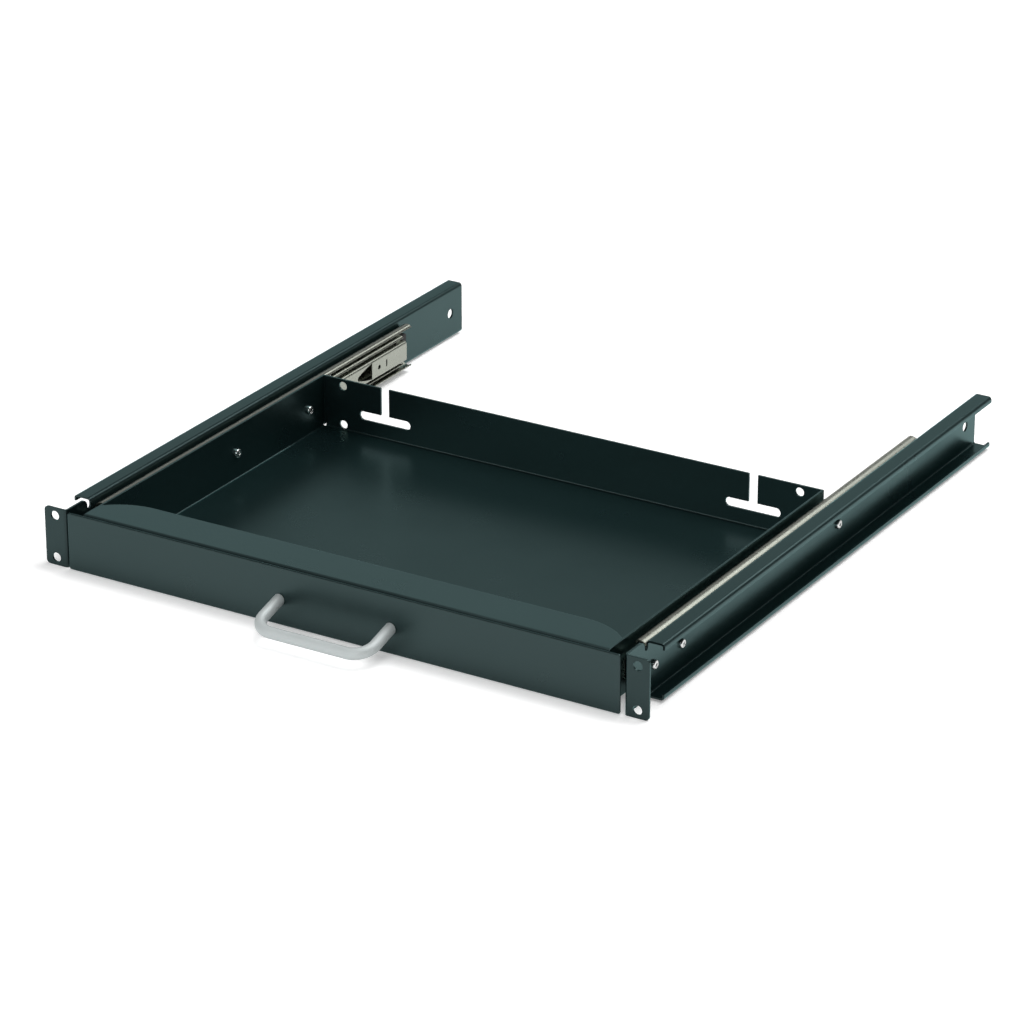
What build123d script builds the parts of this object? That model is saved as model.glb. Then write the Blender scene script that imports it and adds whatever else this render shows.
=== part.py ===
"""Rack keyboard drawer, one unit high, for 19 inch racks.

Origin: the centre of the four ear holes, on the rear face of the ears.
+X right as seen from the front, +Y away from the front, +Z up. Millimetres.
The drawer is modelled shut. The right-hand pieces are made first, and the left-hand ones mirror them.
"""
from math import hypot
import os

from build123d import *

os.makedirs("parts", exist_ok=True)

# Rack interface
rack_width = 482.6
unit_height = 43.66
ear_width = 18.8
ear_hole_from_edge = 8.75
ear_hole_spacing_z = 31.75
ear_hole_radius = 3.5
ear_corner_radius = 3.0

# Mounting rails, a lipped channel open to the outside with the ear folded from its web
rail_sheet = 1.5
rail_bend_radius = 1.2
rail_flange_width = 14.1
rail_height = 41.0
rail_lip_height = 4.5
rail_length = 521.0
rail_flange_start = 27.0
rail_notch_width = 4.0
rail_notch_depth = 8.0
rail_tab_radius = 5.5
rail_hole_radius = 3.9
rail_hole_from_end = 17.0

# Ball bearing slides
slide_thickness = 12.7
slide_height = 35.0
member_sheet = 1.2
member_bend_radius = 0.9
slide_length = 400.0
outer_member_start = 30.5
outer_member_bend_radius = 5.5
middle_member_start = 22.0
middle_member_shortfall = 4.0
inner_member_start = 19.5
race_clearance = 0.06
race_wrap_angle = 70.0
outer_ball_radius = 1.8
outer_ball_depth = 7.2
inner_ball_radius = 1.6
inner_ball_depth = 8.0
middle_web_depth = 2.8
balls_per_row = 5
ball_pitch = 41.0
cage_sheet = 0.5
cage_start = 129.5
cage_end_margin = 12.0
cage_hole_clearance = 0.15
outer_cage_web_depth = 1.85
outer_cage_reach = 9.9
outer_cage_bend_radius = 3.0
inner_cage_web_depth = 4.2
inner_cage_reach = 10.4
bumper_length = 7.0
bumper_width = 6.0
bumper_height = 22.0
bumper_gap = 1.0

# Cut-outs near the rear end of the inner members
window_length = 24.0
window_height = 13.4
window_bulge = 0.6
window_tip_radius = 2.0
window_from_end = 49.0
latch_hole_radius = 1.8
latch_hole_from_end = 39.0
latch_slot_width = 1.6
latch_slot_length = 6.0
latch_slot_from_end = 28.5

# Tray
tray_sheet = 1.5
tray_bend_radius = 1.2
tray_height = 41.6
tray_inner_depth = 302.0
palm_strip_depth = 36.3
palm_strip_bend_radius = 5.0
palm_strip_corner_radius = 50.0
palm_strip_corner_width = 35.0
rear_slot_from_side = 53.7
rear_slot_length = 44.4
rear_slot_width = 7.0
rear_slot_mouth = 7.2
rear_slot_height = -4.4
rear_hole_from_side = 16.8
rear_hole_spacing_z = 31.0
rear_hole_radius = 3.4
corner_relief_radius = 1.5

# Front panel and handle
panel_sheet = 2.0
panel_side_gap = 2.0
panel_height = 42.7
panel_proud = 2.0
panel_corner_radius = 1.5
panel_edge_radius = 0.9
handle_spacing = 89.0
handle_reach = 32.0
handle_drop = 8.2
handle_rod_radius = 4.2
handle_bend_radius = 14.0
handle_height = -2.6

# Fasteners
screw_radius = 2.0
screw_clearance = 0.1
screw_head_radius = 3.4
screw_head_height = 2.2
screw_head_crown = 0.9
rail_screw_places = (35.0, 72.0, 298.0)
tray_front_screw_place = 41.0
tray_middle_screw_place = 186.0
tray_rear_screw_from_wall = 20.5
handle_screw_length = 8.0
stud_radius = 2.0
stud_length = 8.0
stud_head_radius = 3.4
stud_head_height = 1.0
stud_from_edge = 35.5
stud_from_handle = 50.5
nut_across_flats = 7.0
nut_height = 3.2

tolerance = 0.01

# Planes and heights that the pieces share
ear_front = -rail_sheet
ear_hole_place = rack_width / 2 - ear_hole_from_edge
rail_inner_half = rack_width / 2 - ear_width
rail_web_middle = rail_inner_half + rail_sheet / 2
rail_outer_half = rail_inner_half + rail_sheet
rail_flange_middle = rail_height / 2 - rail_sheet / 2
rail_lip_middle = rail_inner_half + rail_flange_width - rail_sheet / 2
rail_bend_middle = rail_bend_radius + rail_sheet / 2
member_bend_middle = member_bend_radius + member_sheet / 2
tray_outer_half = rail_inner_half - slide_thickness
tray_inner_half = tray_outer_half - tray_sheet
panel_front = ear_front - panel_proud
tray_front = panel_front + panel_sheet
tray_rear = tray_inner_depth + tray_sheet
tray_length = tray_rear - tray_front
tray_screw_places = (
    tray_front_screw_place,
    tray_middle_screw_place,
    tray_inner_depth - tray_rear_screw_from_wall,
)
rear_slot_place = tray_inner_half - rear_slot_from_side
strip_rear = tray_front + palm_strip_depth
tray_top = tray_height / 2
tray_floor = -tray_height / 2 + tray_sheet
panel_width = 2 * (rail_inner_half - panel_side_gap)
stud_places = [
    side * place
    for place in (panel_width / 2 - stud_from_edge, handle_spacing / 2 + stud_from_handle)
    for side in (1, -1)
]
inner_member_end = inner_member_start + slide_length

# Ball rows: each ball runs between two races, and the flange that both rows share lies between them
race_middle_offset = race_clearance + member_sheet / 2
outer_race_radius = outer_ball_radius + race_middle_offset
inner_race_radius = inner_ball_radius + race_middle_offset
outer_ball_height = slide_height / 2 - member_sheet / 2 - outer_race_radius
middle_flange_height = outer_ball_height - outer_race_radius
inner_ball_height = middle_flange_height - inner_race_radius
inner_flange_height = inner_ball_height - inner_race_radius
ball_places = [cage_start + cage_end_margin + row * ball_pitch for row in range(balls_per_row)]
cage_length = 2 * cage_end_margin + (balls_per_row - 1) * ball_pitch


def slide_x(depth):
    """X of a point of the right slide, by its depth from the rail's web towards the tray."""
    return rail_inner_half - depth


def both_rows(height):
    """The places of a slide's upper and lower balls."""
    return [(place, side * height) for place in ball_places for side in (1, -1)]


def at_tab_corner(point):
    """Whether a point lies on the rail tab's rear corners, beside the notches."""
    notch_front = rail_flange_start - rail_notch_width
    return abs(point.Y - notch_front) < tolerance and abs(abs(point.Z) - unit_height / 2) < tolerance


def pan_head_screw(shank_length):
    """A screw along Z whose head stands on the XY plane, with its shank below."""
    with BuildPart() as screw:
        with BuildSketch(Plane.XZ):
            with BuildLine():
                head_side = screw_head_height - screw_head_crown
                Polyline(
                    (0, screw_head_height),
                    (0, -shank_length),
                    (screw_radius, -shank_length),
                    (screw_radius, 0),
                    (screw_head_radius, 0),
                    (screw_head_radius, head_side),
                )
                TangentArc((0, screw_head_height), (screw_head_radius, head_side), tangent=(1, 0))
            make_face()
        revolve(axis=Axis.Z)
    return screw.part


# Right rail: channel, then the tab and ear at its front
with BuildPart() as right_rail:
    with BuildSketch(Plane.XZ.offset(-rail_flange_start)):
        with BuildLine():
            FilletPolyline(
                (rail_lip_middle, rail_height / 2 - rail_lip_height),
                (rail_lip_middle, rail_flange_middle),
                (rail_web_middle, rail_flange_middle),
                (rail_web_middle, -rail_flange_middle),
                (rail_lip_middle, -rail_flange_middle),
                (rail_lip_middle, -rail_height / 2 + rail_lip_height),
                radius=rail_bend_middle,
            )
        trace(line_width=rail_sheet)
    extrude(amount=rail_flange_start - rail_length)

    with BuildSketch(Plane.XY.offset(-unit_height / 2)):
        with BuildLine():
            FilletPolyline(
                (rail_web_middle, rail_flange_start),
                (rail_web_middle, ear_front / 2),
                (rack_width / 2, ear_front / 2),
                radius=rail_bend_middle,
            )
        trace(line_width=rail_sheet)
    extrude(amount=unit_height)
    ear_corners = right_rail.edges().filter_by(Axis.Y).group_by(Axis.X)[-1]
    fillet(ear_corners, radius=ear_corner_radius)

    notch_middle = rail_flange_start - rail_notch_width / 2
    with BuildSketch(Plane.YZ.offset(rail_inner_half)):
        with Locations((notch_middle, unit_height / 2), (notch_middle, -unit_height / 2)):
            SlotOverall(2 * rail_notch_depth, rail_notch_width, rotation=90)
    extrude(amount=rail_sheet, mode=Mode.SUBTRACT)
    fillet(
        right_rail.edges().filter_by(Axis.X).filter_by(lambda edge: at_tab_corner(edge.center())),
        radius=rail_tab_radius,
    )

    with Locations(Plane((0, ear_front, 0), x_dir=(1, 0, 0), z_dir=(0, -1, 0))):
        with Locations((ear_hole_place, ear_hole_spacing_z / 2), (ear_hole_place, -ear_hole_spacing_z / 2)):
            Hole(ear_hole_radius, depth=rail_sheet)
    with Locations(Plane.YZ.offset(rail_outer_half)):
        with Locations((rail_length - rail_hole_from_end, 0)):
            Hole(rail_hole_radius, depth=rail_sheet)
        with Locations(*[(place, 0) for place in rail_screw_places]):
            Hole(screw_radius + screw_clearance, depth=rail_sheet)
right_rail.part.label = "right_rail"
export_step(right_rail.part, "parts/right_rail.step")

with BuildPart() as left_rail:
    mirror(right_rail.part, about=Plane.YZ)
left_rail.part.label = "left_rail"
export_step(left_rail.part, "parts/left_rail.step")

# Outer members: the web lies on the rail, and the flanges curl round the outer balls
with BuildPart() as right_outer_member:
    with BuildSketch(Plane.XZ.offset(-outer_member_start)):
        with BuildLine():
            FilletPolyline(
                (slide_x(member_sheet / 2), 0),
                (slide_x(member_sheet / 2), outer_ball_height + outer_race_radius),
                (slide_x(outer_ball_depth), outer_ball_height + outer_race_radius),
                radius=outer_member_bend_radius + member_sheet / 2,
            )
            CenterArc((slide_x(outer_ball_depth), outer_ball_height), outer_race_radius, 90, race_wrap_angle)
            mirror(about=Plane.XZ)
        trace(line_width=member_sheet)
    extrude(amount=-slide_length)
    with Locations(Plane.YZ.offset(rail_inner_half)):
        with Locations(*[(place, 0) for place in rail_screw_places]):
            Hole(screw_radius + screw_clearance, depth=member_sheet)
right_outer_member.part.label = "right_outer_member"
export_step(right_outer_member.part, "parts/right_outer_member.step")

with BuildPart() as left_outer_member:
    mirror(right_outer_member.part, about=Plane.YZ)
left_outer_member.part.label = "left_outer_member"
export_step(left_outer_member.part, "parts/left_outer_member.step")

# Intermediate members: a smaller channel of the same form, round the inner balls
with BuildPart() as right_middle_member:
    with BuildSketch(Plane.XZ.offset(-middle_member_start)):
        with BuildLine():
            FilletPolyline(
                (slide_x(middle_web_depth), 0),
                (slide_x(middle_web_depth), middle_flange_height),
                (slide_x(inner_ball_depth), middle_flange_height),
                radius=member_bend_middle,
            )
            CenterArc((slide_x(inner_ball_depth), inner_ball_height), inner_race_radius, 90, race_wrap_angle)
            mirror(about=Plane.XZ)
        trace(line_width=member_sheet)
    extrude(amount=middle_member_shortfall - slide_length)
right_middle_member.part.label = "right_middle_member"
export_step(right_middle_member.part, "parts/right_middle_member.step")

with BuildPart() as left_middle_member:
    mirror(right_middle_member.part, about=Plane.YZ)
left_middle_member.part.label = "left_middle_member"
export_step(left_middle_member.part, "parts/left_middle_member.step")

# Inner members: the web lies on the tray, and the flanges reach under the inner balls
inner_web_middle = slide_thickness - member_sheet / 2
with BuildPart() as right_inner_member:
    with BuildSketch(Plane.XZ.offset(-inner_member_start)):
        with BuildLine():
            FilletPolyline(
                (slide_x(inner_web_middle), 0),
                (slide_x(inner_web_middle), inner_flange_height),
                (slide_x(inner_ball_depth), inner_flange_height),
                radius=member_bend_middle,
            )
            CenterArc((slide_x(inner_ball_depth), inner_ball_height), inner_race_radius, -90, race_wrap_angle)
            mirror(about=Plane.XZ)
        trace(line_width=member_sheet)
    extrude(amount=-slide_length)
    with Locations(Plane.YZ.offset(slide_x(inner_web_middle - member_sheet / 2))):
        with Locations(*[(place, 0) for place in tray_screw_places]):
            Hole(screw_radius + screw_clearance, depth=member_sheet)
        with Locations((inner_member_end - latch_hole_from_end, 0)):
            Hole(latch_hole_radius, depth=member_sheet)
    with BuildSketch(Plane.YZ.offset(slide_x(slide_thickness))):
        with Locations((inner_member_end - latch_slot_from_end, 0)):
            SlotOverall(latch_slot_length, latch_slot_width, rotation=90)
        window_rear = inner_member_end - window_from_end
        window_corner = Vector(window_rear, window_height / 2)
        window_tip = Vector(window_rear - window_length, 0)
        with BuildLine():
            SagittaArc(window_corner, window_tip, -window_bulge)
            mirror(about=Plane.XZ)
            Line(window_corner, (window_rear, -window_height / 2))
        window = make_face()
        fillet(window.vertices().sort_by(Axis.X)[0], radius=window_tip_radius)
    extrude(amount=member_sheet, mode=Mode.SUBTRACT)
right_inner_member.part.label = "right_inner_member"
export_step(right_inner_member.part, "parts/right_inner_member.step")

with BuildPart() as left_inner_member:
    mirror(right_inner_member.part, about=Plane.YZ)
left_inner_member.part.label = "left_inner_member"
export_step(left_inner_member.part, "parts/left_inner_member.step")

# Ball cages: thin channels with a hole for each ball
with BuildPart() as right_outer_cage:
    with BuildSketch(Plane.XZ.offset(-cage_start)):
        with BuildLine():
            FilletPolyline(
                (slide_x(outer_cage_reach), outer_ball_height),
                (slide_x(outer_cage_web_depth), outer_ball_height),
                (slide_x(outer_cage_web_depth), -outer_ball_height),
                (slide_x(outer_cage_reach), -outer_ball_height),
                radius=outer_cage_bend_radius,
            )
        trace(line_width=cage_sheet)
    extrude(amount=-cage_length)
    with Locations(Plane.XY.offset(slide_height / 2)):
        with Locations(*[(slide_x(outer_ball_depth), place) for place in ball_places]):
            Hole(outer_ball_radius + cage_hole_clearance)
right_outer_cage.part.label = "right_outer_cage"
export_step(right_outer_cage.part, "parts/right_outer_cage.step")

with BuildPart() as left_outer_cage:
    mirror(right_outer_cage.part, about=Plane.YZ)
left_outer_cage.part.label = "left_outer_cage"
export_step(left_outer_cage.part, "parts/left_outer_cage.step")

with BuildPart() as right_inner_cage:
    with BuildSketch(Plane.XZ.offset(-cage_start)):
        with BuildLine():
            FilletPolyline(
                (slide_x(inner_cage_reach), inner_ball_height),
                (slide_x(inner_cage_web_depth), inner_ball_height),
                (slide_x(inner_cage_web_depth), -inner_ball_height),
                (slide_x(inner_cage_reach), -inner_ball_height),
                radius=member_bend_radius,
            )
        trace(line_width=cage_sheet)
    extrude(amount=-cage_length)
    with Locations(Plane.XY.offset(slide_height / 2)):
        with Locations(*[(slide_x(inner_ball_depth), place) for place in ball_places]):
            Hole(inner_ball_radius + cage_hole_clearance)
right_inner_cage.part.label = "right_inner_cage"
export_step(right_inner_cage.part, "parts/right_inner_cage.step")

with BuildPart() as left_inner_cage:
    mirror(right_inner_cage.part, about=Plane.YZ)
left_inner_cage.part.label = "left_inner_cage"
export_step(left_inner_cage.part, "parts/left_inner_cage.step")

# Balls
with BuildPart() as right_outer_balls:
    with Locations(*[(slide_x(outer_ball_depth), y, z) for y, z in both_rows(outer_ball_height)]):
        Sphere(outer_ball_radius)
right_outer_balls.part.label = "right_outer_balls"
export_step(right_outer_balls.part, "parts/right_outer_balls.step")

with BuildPart() as left_outer_balls:
    mirror(right_outer_balls.part, about=Plane.YZ)
left_outer_balls.part.label = "left_outer_balls"
export_step(left_outer_balls.part, "parts/left_outer_balls.step")

with BuildPart() as right_inner_balls:
    with Locations(*[(slide_x(inner_ball_depth), y, z) for y, z in both_rows(inner_ball_height)]):
        Sphere(inner_ball_radius)
right_inner_balls.part.label = "right_inner_balls"
export_step(right_inner_balls.part, "parts/right_inner_balls.step")

with BuildPart() as left_inner_balls:
    mirror(right_inner_balls.part, about=Plane.YZ)
left_inner_balls.part.label = "left_inner_balls"
export_step(left_inner_balls.part, "parts/left_inner_balls.step")

# Bumpers at the rear of the outer members, which stop the other two members
with BuildPart() as right_bumper:
    with BuildSketch(Plane.YZ.offset(slide_x(member_sheet + bumper_width))):
        with Locations((inner_member_end + bumper_gap + bumper_length / 2, 0)):
            RectangleRounded(bumper_length, bumper_height, radius=bumper_length / 4)
    extrude(amount=bumper_width)
right_bumper.part.label = "right_bumper"
export_step(right_bumper.part, "parts/right_bumper.step")

with BuildPart() as left_bumper:
    mirror(right_bumper.part, about=Plane.YZ)
left_bumper.part.label = "left_bumper"
export_step(left_bumper.part, "parts/left_bumper.step")

# Tray: a folded pan, whose front wall folds over into the strip that carries the palms
with BuildPart() as tray:
    with BuildSketch(Plane.XY.offset(-tray_height / 2)):
        with Locations((0, tray_front + tray_length / 2)):
            Rectangle(2 * tray_outer_half, tray_length)
    extrude(amount=tray_height)
    fillet(tray.edges().group_by(Axis.Z)[0], radius=tray_bend_radius + tray_sheet)
    offset(amount=-tray_sheet, openings=tray.faces().sort_by(Axis.Z)[-1])

    with BuildSketch(Plane.XY.offset(tray_top)):
        with Locations((0, strip_rear)):
            Rectangle(2 * tray_outer_half, palm_strip_depth, align=(Align.CENTER, Align.MAX))
            RectangleRounded(
                2 * (tray_inner_half - palm_strip_corner_width + palm_strip_corner_radius),
                3 * palm_strip_corner_radius,
                palm_strip_corner_radius,
                align=(Align.CENTER, Align.MAX),
                mode=Mode.INTERSECT,
            )
    extrude(amount=-tray_sheet)
    cross_edges = tray.edges().filter_by(Axis.X).group_by(Axis.Y)
    fold_outside, fold_inside = [group.sort_by(Axis.Z)[-1] for group in cross_edges[:2]]
    fillet(fold_outside, radius=palm_strip_bend_radius)
    fillet(fold_inside, radius=palm_strip_bend_radius - tray_sheet)

    with BuildSketch(Plane.XZ.offset(-tray_rear)):
        with Locations((rear_slot_place, rear_slot_height), (-rear_slot_place, rear_slot_height)):
            SlotOverall(rear_slot_length, rear_slot_width)
            Rectangle(rear_slot_mouth, tray_height, align=(Align.CENTER, Align.MIN))
        with GridLocations(2 * (tray_inner_half - rear_hole_from_side), rear_hole_spacing_z, 2, 2):
            Circle(rear_hole_radius)
    extrude(amount=tray_sheet, mode=Mode.SUBTRACT)

    with Locations(Plane.XY.offset(tray_floor)):
        with Locations((tray_inner_half, tray_inner_depth), (-tray_inner_half, tray_inner_depth)):
            Hole(corner_relief_radius, depth=tray_sheet)
    with Locations(Plane((0, tray_front, 0), x_dir=(1, 0, 0), z_dir=(0, -1, 0))):
        with Locations(*[(place, 0) for place in stud_places]):
            Hole(stud_radius + screw_clearance, depth=tray_sheet)
        with Locations((handle_spacing / 2, handle_height), (-handle_spacing / 2, handle_height)):
            Hole(screw_radius + screw_clearance, depth=tray_sheet)
    with Locations(Plane.YZ.offset(tray_outer_half)):
        with Locations(*[(place, 0) for place in tray_screw_places]):
            Hole(screw_radius + screw_clearance)
tray.part.label = "tray"
export_step(tray.part, "parts/tray.step")

# Front panel, with pockets behind for the heads of its studs
with BuildPart() as front_panel:
    with BuildSketch(Plane.XZ.offset(-tray_front)):
        RectangleRounded(panel_width, panel_height, panel_corner_radius)
    extrude(amount=panel_sheet)
    panel_faces = front_panel.faces().sort_by(Axis.Y)
    fillet(panel_faces[0].edges() + panel_faces[-1].edges(), radius=panel_edge_radius)
    with Locations(Plane((0, tray_front, 0), x_dir=(-1, 0, 0), z_dir=(0, 1, 0))):
        with Locations(*[(place, 0) for place in stud_places]):
            Hole(stud_head_radius + screw_clearance, depth=stud_head_height)
        with Locations((handle_spacing / 2, handle_height), (-handle_spacing / 2, handle_height)):
            Hole(screw_radius + screw_clearance, depth=panel_sheet)
front_panel.part.label = "front_panel"
export_step(front_panel.part, "parts/front_panel.step")

with BuildPart() as panel_studs:
    with BuildSketch(Plane.XZ.offset(-tray_front + stud_head_height)):
        with Locations(*[(place, 0) for place in stud_places]):
            Circle(stud_head_radius)
    extrude(amount=-stud_head_height)
    with BuildSketch(Plane.XZ.offset(-tray_front)):
        with Locations(*[(place, 0) for place in stud_places]):
            Circle(stud_radius)
    extrude(amount=-stud_length)
panel_studs.part.label = "panel_studs"
export_step(panel_studs.part, "parts/panel_studs.step")

with BuildPart() as panel_nuts:
    with BuildSketch(Plane.XZ.offset(-tray_front - tray_sheet)):
        with Locations(*[(place, 0) for place in stud_places]):
            RegularPolygon(nut_across_flats / 2, 6, major_radius=False)
            Circle(stud_radius + screw_clearance, mode=Mode.SUBTRACT)
    extrude(amount=-nut_height)
panel_nuts.part.label = "panel_nuts"
export_step(panel_nuts.part, "parts/panel_nuts.step")

# Handle: a bent rod that leans down from its feet, which are cut to the panel and tapped from behind
handle_leg = hypot(handle_reach, handle_drop)
handle_plane = Plane(
    origin=(0, panel_front, handle_height), x_dir=(1, 0, 0), z_dir=(0, -handle_drop, handle_reach)
)
with BuildPart() as handle:
    with BuildLine(handle_plane) as rod:
        FilletPolyline(
            (-handle_spacing / 2, handle_rod_radius),
            (-handle_spacing / 2, -handle_leg),
            (handle_spacing / 2, -handle_leg),
            (handle_spacing / 2, handle_rod_radius),
            radius=handle_bend_radius,
        )
    with BuildSketch(Plane(rod.line @ 0, z_dir=rod.line % 0)):
        Circle(handle_rod_radius)
    sweep()
    split(bisect_by=Plane.XZ.offset(-panel_front), keep=Keep.TOP)
    handle_tap_depth = handle_screw_length - tray_sheet - panel_sheet + screw_clearance
    with Locations(Plane((0, panel_front, 0), x_dir=(-1, 0, 0), z_dir=(0, 1, 0))):
        with Locations((handle_spacing / 2, handle_height), (-handle_spacing / 2, handle_height)):
            Hole(screw_radius + screw_clearance, depth=handle_tap_depth)
handle.part.label = "handle"
export_step(handle.part, "parts/handle.step")

with BuildPart() as handle_screws:
    with Locations(Plane((0, tray_front + tray_sheet, 0), x_dir=(-1, 0, 0), z_dir=(0, 1, 0))):
        with Locations((handle_spacing / 2, handle_height), (-handle_spacing / 2, handle_height)):
            add(pan_head_screw(handle_screw_length))
handle_screws.part.label = "handle_screws"
export_step(handle_screws.part, "parts/handle_screws.step")

# Screws that hold the outer members to the rails, and the inner members to the tray
with BuildPart() as right_rail_screws:
    with Locations(Plane.YZ.offset(rail_outer_half)):
        with Locations(*[(place, 0) for place in rail_screw_places]):
            add(pan_head_screw(rail_sheet + member_sheet))
right_rail_screws.part.label = "right_rail_screws"
export_step(right_rail_screws.part, "parts/right_rail_screws.step")

with BuildPart() as left_rail_screws:
    mirror(right_rail_screws.part, about=Plane.YZ)
left_rail_screws.part.label = "left_rail_screws"
export_step(left_rail_screws.part, "parts/left_rail_screws.step")

with BuildPart() as right_tray_screws:
    with Locations(Plane((tray_inner_half, 0, 0), x_dir=(0, 1, 0), z_dir=(-1, 0, 0))):
        with Locations(*[(place, 0) for place in tray_screw_places]):
            add(pan_head_screw(tray_sheet + member_sheet))
right_tray_screws.part.label = "right_tray_screws"
export_step(right_tray_screws.part, "parts/right_tray_screws.step")

with BuildPart() as left_tray_screws:
    mirror(right_tray_screws.part, about=Plane.YZ)
left_tray_screws.part.label = "left_tray_screws"
export_step(left_tray_screws.part, "parts/left_tray_screws.step")
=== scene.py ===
"""Looks of the rack keyboard drawer. Lengths in metres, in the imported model's frame."""

import bpy
import math
from mathutils import Matrix, Vector


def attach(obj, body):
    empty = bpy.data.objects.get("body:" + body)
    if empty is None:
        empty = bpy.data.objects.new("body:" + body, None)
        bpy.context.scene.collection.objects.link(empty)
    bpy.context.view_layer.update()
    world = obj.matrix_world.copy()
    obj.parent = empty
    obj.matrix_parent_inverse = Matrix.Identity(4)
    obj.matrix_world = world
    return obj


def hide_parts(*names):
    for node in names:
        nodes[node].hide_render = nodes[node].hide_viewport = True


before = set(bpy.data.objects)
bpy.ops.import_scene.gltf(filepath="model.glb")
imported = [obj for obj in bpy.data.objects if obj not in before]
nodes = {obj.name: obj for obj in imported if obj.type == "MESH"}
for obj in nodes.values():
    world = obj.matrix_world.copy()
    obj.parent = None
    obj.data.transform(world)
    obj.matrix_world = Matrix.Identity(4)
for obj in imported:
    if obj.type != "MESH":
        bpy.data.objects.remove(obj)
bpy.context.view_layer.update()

MM = 0.001

# Places and sizes that this file shares with the solids
RACK_FLOOR = -21.83 * MM
RAIL_OUTER = 224.0 * MM
TRAY_INNER = 208.3 * MM
STRIP_UNDERSIDE = 19.3 * MM
STRIP_REAR = 36.0 * MM
RAIL_SCREWS = (35.0 * MM, 72.0 * MM, 298.0 * MM)
TRAY_SCREWS = (41.0 * MM, 186.0 * MM, 281.5 * MM)
HANDLE_SCREWS = (44.5 * MM, -2.6 * MM)
PANEL_NUTS = (-185.0 * MM, -95.0 * MM, 95.0 * MM, 185.0 * MM)
HEAD_RADIUS = 3.4 * MM
HEAD_HEIGHT = 2.2 * MM
SHANK_RADIUS = 2.0 * MM
SHEET_SHANK = 2.7 * MM
HANDLE_SHANK = 8.0 * MM
NUT_ACROSS_FLATS = 7.0 * MM
NUT_HEIGHT = 3.2 * MM
STUD_CLEARANCE = 0.1 * MM

# Small forms of the fasteners
HEAD_CROWN = 1.1 * MM
TIP_LENGTH = 0.4 * MM
TIP_SHARE = 0.82
RECESS_WIDTH = 0.9 * MM
RECESS_SPAN = 4.2 * MM
RECESS_DEPTH = 1.3 * MM
RECESS_TAPER = 0.55
NUT_CONE_BASE = 5.3 * MM
NUT_CONE_TOP = 3.3 * MM
NUT_CONE_HEIGHT = 4.0 * MM
NUT_CONE_MIDDLE = 1.4 * MM
TOLERANCE = 0.01 * MM

# Each fastener of a set is turned on its axis by this much, in degrees
FIRST_TURN = 23
TURN_STEP = 37

# Photograph's view: lens and sensor in millimetres, place in metres, angles in degrees
CAMERA_LENS = 152.75
CAMERA_SENSOR = 36.0
CAMERA_PLACE = (1.4618, -2.20268, 1.23672)
CAMERA_DOWN = 23.818
CAMERA_TURN = 31.024

# Lamps: name, place, the point it faces, width, height, watts
LAMPS = (
    ("front key", (0.1, -2.4, 1.2), (0, 0.2, 0), 1.4, 0.8, 20),
    ("left front fill", (-1.3, -2.0, 1.1), (0, 0.2, 0), 1.2, 0.7, 7),
    ("rear strip light", (0.35, 2.1, 1.5), (0, 0.25, 0), 1.2, 0.45, 5),
    ("overhead", (0.55, 0.8, 2.2), (0, 0.25, 0), 1.6, 1.9, 46),
)

# Room and floor. A fade says: from, to, the value at from, the value at to.
# The floor's glow fades by the distance from the middle, and by Y in front of the panel.
WHITE = (1, 1, 1, 1)
ROOM_LIGHT = 0.38
ROOM_FADES = {
    "X": (-0.3, 0.4, 1.0, 0.35),
    "Y": (-0.3, 0.45, 0.65, 1.06),
    "Z": (0.0, 0.62, 0.95, 0.12),
}
FLOOR_SIZE = 12
FLOOR_COLOUR = (0.88, 0.88, 0.88, 1)
FAR_GLOW = (0.9, 2.6, 0.26, 0.75)
FRONT_GLOW = (-0.01, -0.035, 0.0, 0.25)

# Shine of the powder coat on the tray and panel, and on the rails. The higher shine on top of the palm strip is a
# painted sheen that makes it lighter.
COAT_SHINE = 0.5
RAIL_SHINE = 0.42
STRIP_PAINTED_SHEEN = 0.92

# How much the edges lighten on powder coat and zinc: partly wear, partly painted highlight
EDGE_SHARE = 0.5


# Node helpers

def fill_inputs(tree, node, values):
    """Links or sets a node's inputs, by name or number."""
    for key, value in values.items():
        if isinstance(value, bpy.types.NodeSocket):
            tree.links.new(value, node.inputs[key])
        else:
            node.inputs[key].default_value = value


def add_node(tree, kind, values=None, **settings):
    """A node with its settings, and its inputs linked or set."""
    made = tree.nodes.new(kind)
    for key, value in settings.items():
        setattr(made, key, value)
    fill_inputs(tree, made, values or {})
    return made


def math_node(tree, operation, first, second, clamp=False):
    """The result of a sum on two sockets or numbers."""
    return add_node(tree, "ShaderNodeMath", {0: first, 1: second}, operation=operation, use_clamp=clamp).outputs[0]


def fade_node(tree, value, fade):
    """A value carried from one range to another."""
    return add_node(tree, "ShaderNodeMapRange", {"Value": value, **dict(enumerate(fade, start=1))}).outputs[0]


# Camera, lamps and surroundings

def add_camera():
    """The photograph's view: a long lens, well back to the front right."""
    data = bpy.data.cameras.new("camera")
    data.lens = CAMERA_LENS
    data.sensor_width = CAMERA_SENSOR
    data.clip_start, data.clip_end = 0.05, 50.0
    camera = bpy.data.objects.new("camera", data)
    camera.location = CAMERA_PLACE
    camera.rotation_euler = (math.radians(90 - CAMERA_DOWN), 0, math.radians(CAMERA_TURN))
    bpy.context.scene.collection.objects.link(camera)
    bpy.context.scene.camera = camera


def add_softbox(name, place, aim, width, height, watts):
    """A rectangular lamp at a place, turned towards the point it lights."""
    data = bpy.data.lights.new(name, "AREA")
    data.shape = "RECTANGLE"
    data.size, data.size_y = width, height
    data.energy = watts
    lamp = bpy.data.objects.new(name, data)
    lamp.location = place
    lamp.rotation_euler = (Vector(aim) - Vector(place)).to_track_quat("-Z", "Y").to_euler()
    bpy.context.scene.collection.objects.link(lamp)


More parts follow.
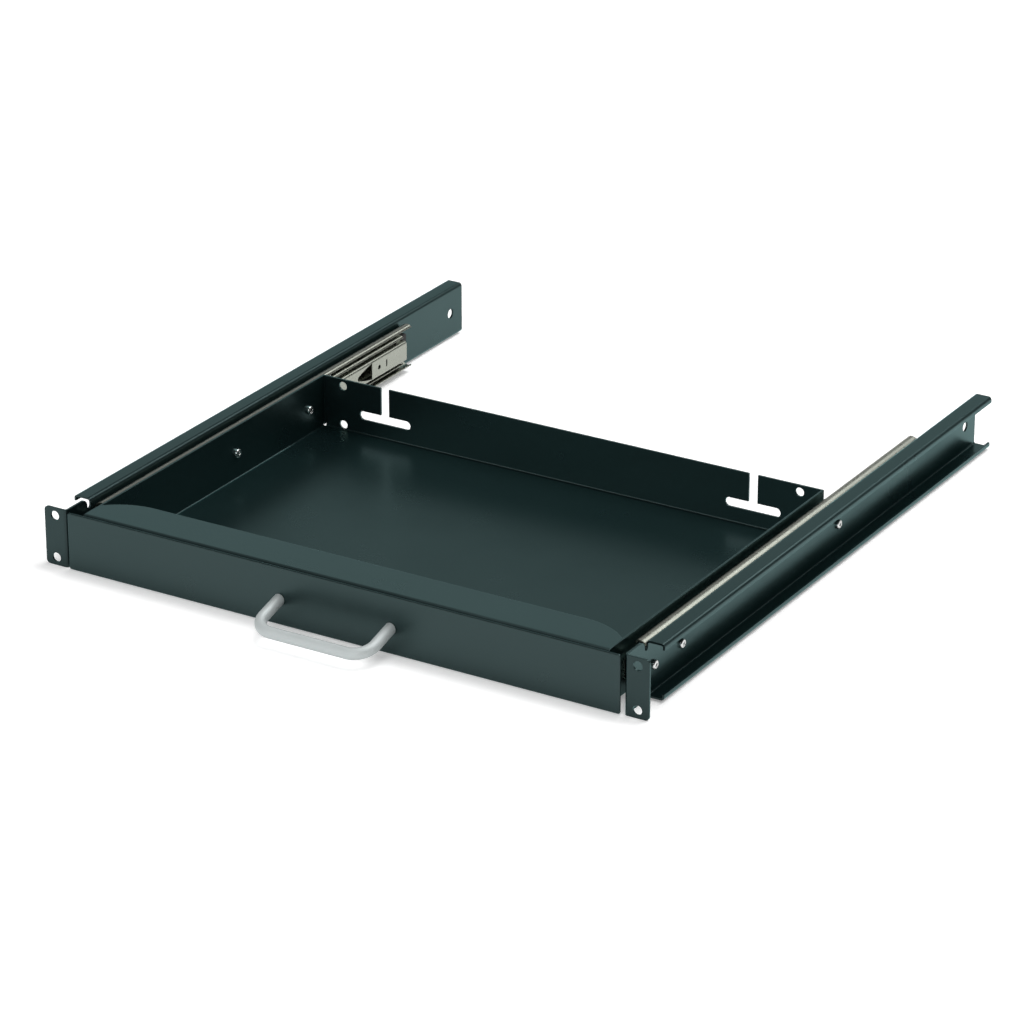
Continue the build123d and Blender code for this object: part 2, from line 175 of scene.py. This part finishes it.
def seen_directly(tree):
    """1 for rays that show the surroundings themselves: to the camera, in a gloss or through glass."""
    path = add_node(tree, "ShaderNodeLightPath")
    total = path.outputs["Is Camera Ray"]
    for ray in ("Is Glossy Ray", "Is Transmission Ray"):
        total = math_node(tree, "ADD", total, path.outputs[ray], clamp=True)
    return total


def seen_by_camera(tree):
    """1 for rays that show the surroundings to the camera."""
    return add_node(tree, "ShaderNodeLightPath").outputs["Is Camera Ray"]


def add_surroundings():
    """A white room. The camera sees it white, a gloss sees it dimmer overhead, on the right and in front."""
    world = bpy.data.worlds.new("white studio")
    bpy.context.scene.world = world
    world.use_nodes = True
    tree = world.node_tree
    tree.nodes.clear()
    direction = add_node(tree, "ShaderNodeTexCoord").outputs["Generated"]
    parts = add_node(tree, "ShaderNodeSeparateXYZ", {0: direction})
    across, along, upwards = (fade_node(tree, parts.outputs[axis], fade) for axis, fade in ROOM_FADES.items())
    sweep = math_node(tree, "MULTIPLY", math_node(tree, "MULTIPLY", across, along), upwards)
    brightness = math_node(tree, "MAXIMUM", sweep, seen_by_camera(tree))
    lighting = add_node(tree, "ShaderNodeBackground", {"Color": WHITE, "Strength": ROOM_LIGHT})
    shown = add_node(tree, "ShaderNodeBackground", {"Color": WHITE, "Strength": brightness})
    mix = add_node(
        tree, "ShaderNodeMixShader", {0: seen_directly(tree), 1: lighting.outputs[0], 2: shown.outputs[0]}
    )
    add_node(tree, "ShaderNodeOutputWorld", {"Surface": mix.outputs[0]})


def add_floor():
    """A pale floor that the ears touch, and that keeps the object's shadow.

    It glows more far away from the object, and for the camera alone in front of the panel.
    """
    bpy.ops.mesh.primitive_plane_add(size=FLOOR_SIZE, location=(0, 0, RACK_FLOOR))
    floor = bpy.context.object
    floor.name = "studio_floor"
    bpy.ops.object.transform_apply(location=True, rotation=True, scale=True)
    material = bpy.data.materials.new("pale floor")
    material.use_nodes = True
    tree = material.node_tree
    tree.nodes.clear()
    place = add_node(tree, "ShaderNodeTexCoord").outputs["Object"]
    distance = add_node(tree, "ShaderNodeVectorMath", {0: place}, operation="LENGTH").outputs["Value"]
    depth = add_node(tree, "ShaderNodeSeparateXYZ", {0: place}).outputs["Y"]
    far_glow = math_node(tree, "MULTIPLY", seen_directly(tree), fade_node(tree, distance, FAR_GLOW))
    front_glow = math_node(tree, "MULTIPLY", seen_by_camera(tree), fade_node(tree, depth, FRONT_GLOW))
    paper = add_node(tree, "ShaderNodeBsdfDiffuse", {"Color": FLOOR_COLOUR})
    glow = add_node(
        tree, "ShaderNodeEmission", {"Color": WHITE, "Strength": math_node(tree, "ADD", far_glow, front_glow)}
    )
    both = add_node(tree, "ShaderNodeAddShader", {0: paper.outputs[0], 1: glow.outputs[0]})
    add_node(tree, "ShaderNodeOutputMaterial", {"Surface": both.outputs[0]})
    floor.data.materials.append(material)


# Shader groups: effects that several finishes use

def new_group(name, inputs, outputs):
    """A shader node group with its named inputs and outputs."""
    group = bpy.data.node_groups.new(name, "ShaderNodeTree")
    for label, kind, value in inputs:
        socket = group.interface.new_socket(name=label, in_out="INPUT", socket_type=kind)
        socket.default_value = value
    for label, kind in outputs:
        group.interface.new_socket(name=label, in_out="OUTPUT", socket_type=kind)
    return group, group.nodes.new("NodeGroupInput"), group.nodes.new("NodeGroupOutput")


def make_edge_group():
    """Rounds the look of sharp sheet edges, and marks them for a lighter colour: partly thin or rubbed finish,
    partly painted highlight.
    """
    group, given, result = new_group(
        "edge wear and painted highlight",
        [("Radius", "NodeSocketFloat", 0.0004), ("Patchiness", "NodeSocketFloat", 60.0)],
        [("Mask", "NodeSocketFloat"), ("Normal", "NodeSocketVector")],
    )
    rounded = add_node(group, "ShaderNodeBevel", {"Radius": given.outputs["Radius"]}, samples=6)
    flat = add_node(group, "ShaderNodeNewGeometry")
    likeness = add_node(
        group, "ShaderNodeVectorMath", {0: rounded.outputs[0], 1: flat.outputs["Normal"]}, operation="DOT_PRODUCT"
    )
    turned = math_node(group, "SUBTRACT", 1.0, likeness.outputs["Value"], clamp=True)
    sharp = math_node(group, "MULTIPLY", turned, 5.0, clamp=True)
    place = add_node(group, "ShaderNodeTexCoord")
    patches = add_node(
        group,
        "ShaderNodeTexNoise",
        {"Vector": place.outputs["Object"], "Scale": given.outputs["Patchiness"], "Detail": 3.0},
    )
    uneven = fade_node(group, patches.outputs["Fac"], (0.38, 0.62, 0.25, 1.0))
    mask = math_node(group, "MULTIPLY", sharp, uneven)
    fill_inputs(group, result, {"Mask": mask, "Normal": rounded.outputs[0]})
    return group


def make_grain_group():
    """The fine bumps of powder coat, plating, rubber or a blasted rod, over the rounded normal."""
    group, given, result = new_group(
        "fine grain",
        [
            ("Scale", "NodeSocketFloat", 900.0),
            ("Strength", "NodeSocketFloat", 0.2),
            ("Height", "NodeSocketFloat", 0.00004),
            ("Normal", "NodeSocketVector", (0, 0, 0)),
        ],
        [("Variation", "NodeSocketFloat"), ("Normal", "NodeSocketVector")],
    )
    place = add_node(group, "ShaderNodeTexCoord")
    bumps = add_node(
        group,
        "ShaderNodeTexNoise",
        {"Vector": place.outputs["Object"], "Scale": given.outputs["Scale"], "Detail": 2.0, "Roughness": 0.55},
    )
    clouds = add_node(
        group, "ShaderNodeTexNoise", {"Vector": place.outputs["Object"], "Scale": 14.0, "Detail": 4.0}
    )
    bump = add_node(
        group,
        "ShaderNodeBump",
        {
            "Strength": given.outputs["Strength"],
            "Distance": given.outputs["Height"],
            "Height": bumps.outputs["Fac"],
            "Normal": given.outputs["Normal"],
        },
    )
    fill_inputs(group, result, {"Variation": clouds.outputs["Fac"], "Normal": bump.outputs[0]})
    return group


def make_drawn_group():
    """Fine lines along the slides, left by rolling or drawing the metal."""
    group, given, result = new_group(
        "drawn metal",
        [
            ("Fineness", "NodeSocketFloat", 500.0),
            ("Height", "NodeSocketFloat", 0.00002),
            ("Normal", "NodeSocketVector", (0, 0, 0)),
        ],
        [("Streaks", "NodeSocketFloat"), ("Blooms", "NodeSocketFloat"), ("Normal", "NodeSocketVector")],
    )
    place = add_node(group, "ShaderNodeTexCoord")
    stretched = add_node(group, "ShaderNodeMapping", {"Vector": place.outputs["Object"], "Scale": (1.0, 0.02, 1.0)})
    lines = add_node(
        group,
        "ShaderNodeTexNoise",
        {"Vector": stretched.outputs[0], "Scale": given.outputs["Fineness"], "Detail": 3.0},
    )
    blooms = add_node(
        group, "ShaderNodeTexVoronoi", {"Vector": place.outputs["Object"], "Scale": 190.0}, feature="SMOOTH_F1"
    )
    bump = add_node(
        group,
        "ShaderNodeBump",
        {
            "Strength": 0.2,
            "Distance": given.outputs["Height"],
            "Height": lines.outputs["Fac"],
            "Normal": given.outputs["Normal"],
        },
    )
    fill_inputs(
        group,
        result,
        {"Streaks": lines.outputs["Fac"], "Blooms": blooms.outputs["Distance"], "Normal": bump.outputs[0]},
    )
    return group


EDGES = make_edge_group()
GRAIN = make_grain_group()
DRAWN = make_drawn_group()


# Finishes

def new_finish(name, metallic):
    """A material with its node tree and its shader."""
    material = bpy.data.materials.new(name)
    material.use_nodes = True
    tree = material.node_tree
    shader = tree.nodes["Principled BSDF"]
    shader.inputs["Metallic"].default_value = metallic
    return material, tree, shader


def use_group(tree, group, **values):
    """A node for a shader group, with the group's inputs linked or set."""
    return add_node(tree, "ShaderNodeGroup", values, node_tree=group)


def blend_colours(tree, share, first, second):
    """First colour where the share is 0, second where it is 1."""
    ends = [end if isinstance(end, bpy.types.NodeSocket) else (*end, 1) for end in (first, second)]
    return add_node(tree, "ShaderNodeMix", {"Factor": share, 6: ends[0], 7: ends[1]}, data_type="RGBA").outputs[2]


def spread(tree, value, low, high):
    """A 0 to 1 pattern stretched to the given range."""
    return fade_node(tree, value, (0.3, 0.7, low, high))


def black_powder_coat(name, shine):
    """Satin black powder coat with a green cast, lighter on the edges: thinner coat there and a painted highlight.
    Two tints take red out of its shine.
    """
    material, tree, shader = new_finish(name, 0.0)
    edges = use_group(tree, EDGES, Radius=0.0004, Patchiness=45.0)
    grain = use_group(tree, GRAIN, Scale=1300.0, Strength=0.22, Height=0.00004, Normal=edges.outputs["Normal"])
    body = blend_colours(tree, grain.outputs["Variation"], (0.0038, 0.0064, 0.0068), (0.0056, 0.0088, 0.0092))
    # Lighter edges: partly thin coat, partly painted highlight
    thin_coat_and_highlight = math_node(tree, "MULTIPLY", edges.outputs["Mask"], EDGE_SHARE)
    fill_inputs(
        tree,
        shader,
        {
            "Base Color": blend_colours(tree, thin_coat_and_highlight, body, (0.011, 0.018, 0.018)),
            "Roughness": spread(tree, grain.outputs["Variation"], 0.26, 0.33),
            "Normal": grain.outputs["Normal"],
            "IOR": 1.54,
            "Specular IOR Level": shine,
            "Specular Tint": (0.88, 1.0, 1.0, 1),
            "Coat Weight": 0.45,
            "Coat IOR": 1.0,
            "Coat Roughness": 0.3,
            "Coat Tint": (0.56, 1.0, 1.0, 1),
        },
    )
    return material


def zinc_plate():
    """Pale yellowish zinc on drawn steel."""
    material, tree, shader = new_finish("zinc plate", 1.0)
    edges = use_group(tree, EDGES, Radius=0.0003, Patchiness=90.0)
    drawn = use_group(tree, DRAWN, Fineness=520.0, Height=0.00002, Normal=edges.outputs["Normal"])
    body = blend_colours(tree, drawn.outputs["Streaks"], (0.285, 0.30, 0.26), (0.315, 0.33, 0.285))
    # Lighter edges: partly rubbed plating, partly painted highlight
    rubbed_and_highlight = math_node(tree, "MULTIPLY", edges.outputs["Mask"], EDGE_SHARE)
    fill_inputs(
        tree,
        shader,
        {
            "Base Color": blend_colours(tree, rubbed_and_highlight, body, (0.39, 0.40, 0.36)),
            "Roughness": spread(tree, drawn.outputs["Blooms"], 0.27, 0.33),
            "Normal": drawn.outputs["Normal"],
        },
    )
    return material


def cage_strip():
    """Thin bare strip with rolling marks."""
    material, tree, shader = new_finish("cage strip", 1.0)
    edges = use_group(tree, EDGES, Radius=0.0002, Patchiness=120.0)
    drawn = use_group(tree, DRAWN, Fineness=800.0, Height=0.00001, Normal=edges.outputs["Normal"])
    fill_inputs(
        tree,
        shader,
        {
            "Base Color": blend_colours(tree, drawn.outputs["Streaks"], (0.52, 0.53, 0.52), (0.66, 0.66, 0.64)),
            "Roughness": spread(tree, drawn.outputs["Blooms"], 0.28, 0.4),
            "Normal": drawn.outputs["Normal"],
        },
    )
    return material


def satin_aluminium():
    """Blasted and anodised rod of the handle."""
    material, tree, shader = new_finish("satin aluminium", 0.35)
    grain = use_group(tree, GRAIN, Scale=2200.0, Strength=0.25, Height=0.00002)
    fill_inputs(
        tree,
        shader,
        {
            "Base Color": blend_colours(tree, grain.outputs["Variation"], (0.48, 0.52, 0.52), (0.54, 0.58, 0.58)),
            "Roughness": spread(tree, grain.outputs["Variation"], 0.52, 0.62),
            "Normal": grain.outputs["Normal"],
        },
    )
    return material


def bright_fastener():
    """Bright plating of screws and nuts, with dull patches."""
    material, tree, shader = new_finish("bright fastener", 1.0)
    edges = use_group(tree, EDGES, Radius=0.00015, Patchiness=400.0)
    grain = use_group(tree, GRAIN, Scale=3000.0, Strength=0.15, Height=0.00001, Normal=edges.outputs["Normal"])
    fill_inputs(
        tree,
        shader,
        {
            # Lighter edges: partly rubbed plating, partly painted highlight
            "Base Color": blend_colours(tree, edges.outputs["Mask"], (0.66, 0.67, 0.66), (0.82, 0.82, 0.80)),
            "Roughness": spread(tree, grain.outputs["Variation"], 0.2, 0.32),
            "Normal": grain.outputs["Normal"],
        },
    )
    return material


def threaded_steel():
    """The same plating on a thread, whose turns run round the Y axis. Its roots are painted darker and its crests
    lighter: painted shade and painted highlight.
    """
    material, tree, shader = new_finish("threaded steel", 1.0)
    place = add_node(tree, "ShaderNodeTexCoord")
    turns = add_node(
        tree,
        "ShaderNodeTexWave",
        {"Vector": place.outputs["Object"], "Scale": 225.0, "Distortion": 0.0},
        bands_direction="Y",
        wave_profile="TRI",
    ).outputs["Fac"]
    bump = add_node(tree, "ShaderNodeBump", {"Strength": 0.9, "Distance": 0.0003, "Height": turns})
    fill_inputs(
        tree,
        shader,
        {
            # Painted shade in the thread's roots and painted highlight on its crests
            "Base Color": blend_colours(tree, turns, (0.40, 0.41, 0.40), (0.74, 0.74, 0.72)),
            "Roughness": 0.28,
            "Normal": bump.outputs[0],
        },
    )
    return material


def polished_ball():
    """Hard polished steel, faintly marked by running."""
    material, tree, shader = new_finish("polished ball", 1.0)
    grain = use_group(tree, GRAIN, Scale=1500.0, Strength=0.05, Height=0.000005)
    fill_inputs(
        tree,
        shader,
        {
            "Base Color": blend_colours(tree, grain.outputs["Variation"], (0.68, 0.69, 0.70), (0.78, 0.78, 0.79)),
            "Roughness": spread(tree, grain.outputs["Variation"], 0.05, 0.14),
        },
    )
    return material


def black_rubber():
    """Matt moulded rubber."""
    material, tree, shader = new_finish("black rubber", 0.0)
    grain = use_group(tree, GRAIN, Scale=1800.0, Strength=0.4, Height=0.00006)
    fill_inputs(
        tree,
        shader,
        {
            "Base Color": blend_colours(
                tree, grain.outputs["Variation"], (0.012, 0.012, 0.012), (0.028, 0.028, 0.028)
            ),
            "Roughness": spread(tree, grain.outputs["Variation"], 0.66, 0.84),
            "Normal": grain.outputs["Normal"],
        },
    )
    return material


def finish_nodes():
    """Puts each finish on the nodes that carry it, and a shinier copy of the coat on top of the palm strip, as
    painted sheen.
    """
    paint, zinc, strip = black_powder_coat("black powder coat", COAT_SHINE), zinc_plate(), cage_strip()
    ball, rubber, thread = polished_ball(), black_rubber(), threaded_steel()
    finishes = {"tray": paint, "front_panel": paint, "handle": satin_aluminium(), "panel_studs": thread}
    rail_paint = black_powder_coat("black powder coat of the rails", RAIL_SHINE)
    for side in ("left", "right"):
        finishes[f"{side}_rail"] = rail_paint
        finishes[f"{side}_bumper"] = rubber
        for member in ("outer", "middle", "inner"):
            finishes[f"{side}_{member}_member"] = zinc
        for row in ("outer", "inner"):
            finishes[f"{side}_{row}_cage"] = strip
            finishes[f"{side}_{row}_balls"] = ball
    for name, material in finishes.items():
        node = nodes[name]
        node.data.materials.clear()
        node.data.materials.append(material)
    tray = nodes["tray"].data
    # Painted sheen: a shinier copy of the same coat makes the top of the palm strip lighter
    tray.materials.append(black_powder_coat("palm strip painted sheen", STRIP_PAINTED_SHEEN))
    for face in tray.polygons:
        looks_up = face.normal.z > 0.9
        if looks_up and face.center.z > STRIP_UNDERSIDE and face.center.y < STRIP_REAR:
            face.material_index = 1


# Modelling helpers

def only(obj):
    """Makes one object the active and only selected one."""
    bpy.ops.object.select_all(action="DESELECT")
    obj.select_set(True)
    bpy.context.view_layer.objects.active = obj


def clear_selection(obj):
    """Leaves nothing of an object's mesh selected."""
    only(obj)
    bpy.ops.object.mode_set(mode="EDIT")
    bpy.ops.mesh.select_all(action="DESELECT")
    bpy.ops.object.mode_set(mode="OBJECT")


def pick_faces(obj, test):
    """Selects the faces that pass a test, and goes to edit mode."""
    bpy.context.tool_settings.mesh_select_mode = (False, False, True)
    clear_selection(obj)
    for face in obj.data.polygons:
        face.select = test(face)
    bpy.ops.object.mode_set(mode="EDIT")


def pick_edges(obj, test):
    """Selects the edges that pass a test of their two ends, and goes to edit mode."""
    bpy.context.tool_settings.mesh_select_mode = (False, True, False)
    clear_selection(obj)
    points = obj.data.vertices
    for edge in obj.data.edges:
        edge.select = test(points[edge.vertices[0]].co, points[edge.vertices[1]].co)
    bpy.ops.object.mode_set(mode="EDIT")


def leave_edit():
    """Goes back to object mode, which brings the edits into the mesh."""
    bpy.ops.object.mode_set(mode="OBJECT")


def apply_modifiers(obj):
    """Turns an object's modifiers into its mesh."""
    only(obj)
    for modifier in list(obj.modifiers):
        bpy.ops.object.modifier_apply(modifier=modifier.name)


def looks_down(face):
    """Whether a face looks down."""
    return face.normal.z < -0.5


def cross_cutter():
    """A tapered cross, the shape of the driver's tip."""
    arms = []
    for width, length in ((RECESS_WIDTH, RECESS_SPAN), (RECESS_SPAN, RECESS_WIDTH)):
        bpy.ops.object.select_all(action="DESELECT")
        bpy.ops.mesh.primitive_cube_add(
            size=1, location=(0, 0, HEAD_HEIGHT), scale=(width, length, 2 * RECESS_DEPTH)
        )
        arm = bpy.context.object
        bpy.ops.object.transform_apply(location=True, rotation=False, scale=True)
        pick_faces(arm, looks_down)
        bpy.ops.transform.resize(value=(RECESS_TAPER, RECESS_TAPER, 1))
        leave_edit()
        arms.append(arm)
    return arms


def screw_template(shank):
    """A pan head screw along Z: rounded head above, shank below, cross recess in the top."""
    bpy.ops.object.select_all(action="DESELECT")
    bpy.ops.mesh.primitive_cylinder_add(
        vertices=40, radius=HEAD_RADIUS, depth=HEAD_HEIGHT, location=(0, 0, HEAD_HEIGHT / 2)
    )
    screw = bpy.context.object
    bpy.ops.object.transform_apply(location=True, rotation=False, scale=False)
    pick_faces(screw, looks_down)
    bpy.ops.mesh.inset(thickness=HEAD_RADIUS - SHANK_RADIUS)
    bpy.ops.mesh.extrude_region_move(TRANSFORM_OT_translate={"value": (0, 0, -(shank - TIP_LENGTH))})
    bpy.ops.mesh.extrude_region_move(TRANSFORM_OT_translate={"value": (0, 0, -TIP_LENGTH)})
    bpy.ops.transform.resize(value=(TIP_SHARE, TIP_SHARE, 1))
    leave_edit()
    rim = HEAD_HEIGHT - TOLERANCE
    pick_edges(screw, lambda a, b: a.z > rim and b.z > rim)
    bpy.ops.mesh.bevel(offset=HEAD_CROWN, segments=5, affect="EDGES")
    leave_edit()
    for arm in cross_cutter():
        cut = screw.modifiers.new("recess", "BOOLEAN")
        cut.operation = "DIFFERENCE"
        cut.solver = "EXACT"
        cut.object = arm
        apply_modifiers(screw)
        bpy.data.objects.remove(arm)
    only(screw)
    bpy.ops.object.shade_smooth_by_angle(angle=math.radians(32))
    return screw


def nut_template():
    """A hexagon nut along Z with chamfered corners and its bore."""
    bpy.ops.object.select_all(action="DESELECT")
    bpy.ops.mesh.primitive_cylinder_add(
        vertices=6, radius=NUT_ACROSS_FLATS / 2 / math.cos(math.pi / 6), depth=NUT_HEIGHT,
        location=(0, 0, NUT_HEIGHT / 2),
    )
    nut = bpy.context.object
    bpy.ops.object.transform_apply(location=True, rotation=False, scale=False)
    bpy.ops.object.select_all(action="DESELECT")
    bpy.ops.mesh.primitive_cone_add(
        vertices=48, radius1=NUT_CONE_BASE, radius2=NUT_CONE_TOP, depth=NUT_CONE_HEIGHT,
        location=(0, 0, NUT_CONE_MIDDLE),
    )
    cone = bpy.context.object
    bpy.ops.object.select_all(action="DESELECT")
    bpy.ops.mesh.primitive_cylinder_add(
        vertices=32, radius=SHANK_RADIUS + STUD_CLEARANCE, depth=3 * NUT_HEIGHT, location=(0, 0, NUT_HEIGHT / 2)
    )
    bore = bpy.context.object
    for tool, operation in ((cone, "INTERSECT"), (bore, "DIFFERENCE")):
        cut = nut.modifiers.new("cut", "BOOLEAN")
        cut.operation = operation
        cut.solver = "EXACT"
        cut.object = tool
        apply_modifiers(nut)
        bpy.data.objects.remove(tool)
    only(nut)
    bpy.ops.object.shade_smooth_by_angle(angle=math.radians(25))
    return nut


def set_of(name, template, turns, places, node, body, material):
    """Copies of one fastener at their places, joined into the piece that stands for a node."""
    made = []
    for index, place in enumerate(places):
        mesh = template.data.copy()
        spin = Matrix.Rotation(math.radians(FIRST_TURN + TURN_STEP * index), 4, "Z")
        mesh.transform(Matrix.Translation(place) @ turns @ spin)
        copy = bpy.data.objects.new(name, mesh)
        bpy.context.scene.collection.objects.link(copy)
        made.append(copy)
    bpy.ops.object.select_all(action="DESELECT")
    for copy in made:
        copy.select_set(True)
    bpy.context.view_layer.objects.active = made[0]
    bpy.ops.object.join()
    piece = bpy.context.object
    piece.name = name
    piece.data.materials.clear()
    piece.data.materials.append(material)
    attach(piece, body)
    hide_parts(node)
    return piece


def fit_fasteners():
    """Screws with cross recesses and hexagon nuts, in place of the plain ones."""
    bright = bright_fastener()
    short, long = screw_template(SHEET_SHANK), screw_template(HANDLE_SHANK)
    for side, sign in (("left", -1), ("right", 1)):
        outwards = Matrix.Rotation(sign * math.pi / 2, 4, "Y")
        inwards = Matrix.Rotation(-sign * math.pi / 2, 4, "Y")
        set_of(
            f"{side}_rail_pan_heads", short, outwards, [(sign * RAIL_OUTER, y, 0) for y in RAIL_SCREWS],
            f"{side}_rail_screws", "rails", bright,
        )
        set_of(
            f"{side}_tray_pan_heads", short, inwards, [(sign * TRAY_INNER, y, 0) for y in TRAY_SCREWS],
            f"{side}_tray_screws", "drawer", bright,
        )
    backwards = Matrix.Rotation(-math.pi / 2, 4, "X")
    across, height = HANDLE_SCREWS
    set_of(
        "handle_pan_heads", long, backwards, [(side * across, 0, height) for side in (-1, 1)],
        "handle_screws", "drawer", bright,
    )
    nut = nut_template()
    set_of(
        "panel_hex_nuts", nut, backwards, [(x, 0, 0) for x in PANEL_NUTS],
        "panel_nuts", "drawer", bright,
    )
    for template in (short, long, nut):
        bpy.data.objects.remove(template)


bpy.context.scene.view_settings.view_transform = "Standard"
add_camera()
add_surroundings()
add_floor()
for lamp in LAMPS:
    add_softbox(*lamp)
finish_nodes()
fit_fasteners()
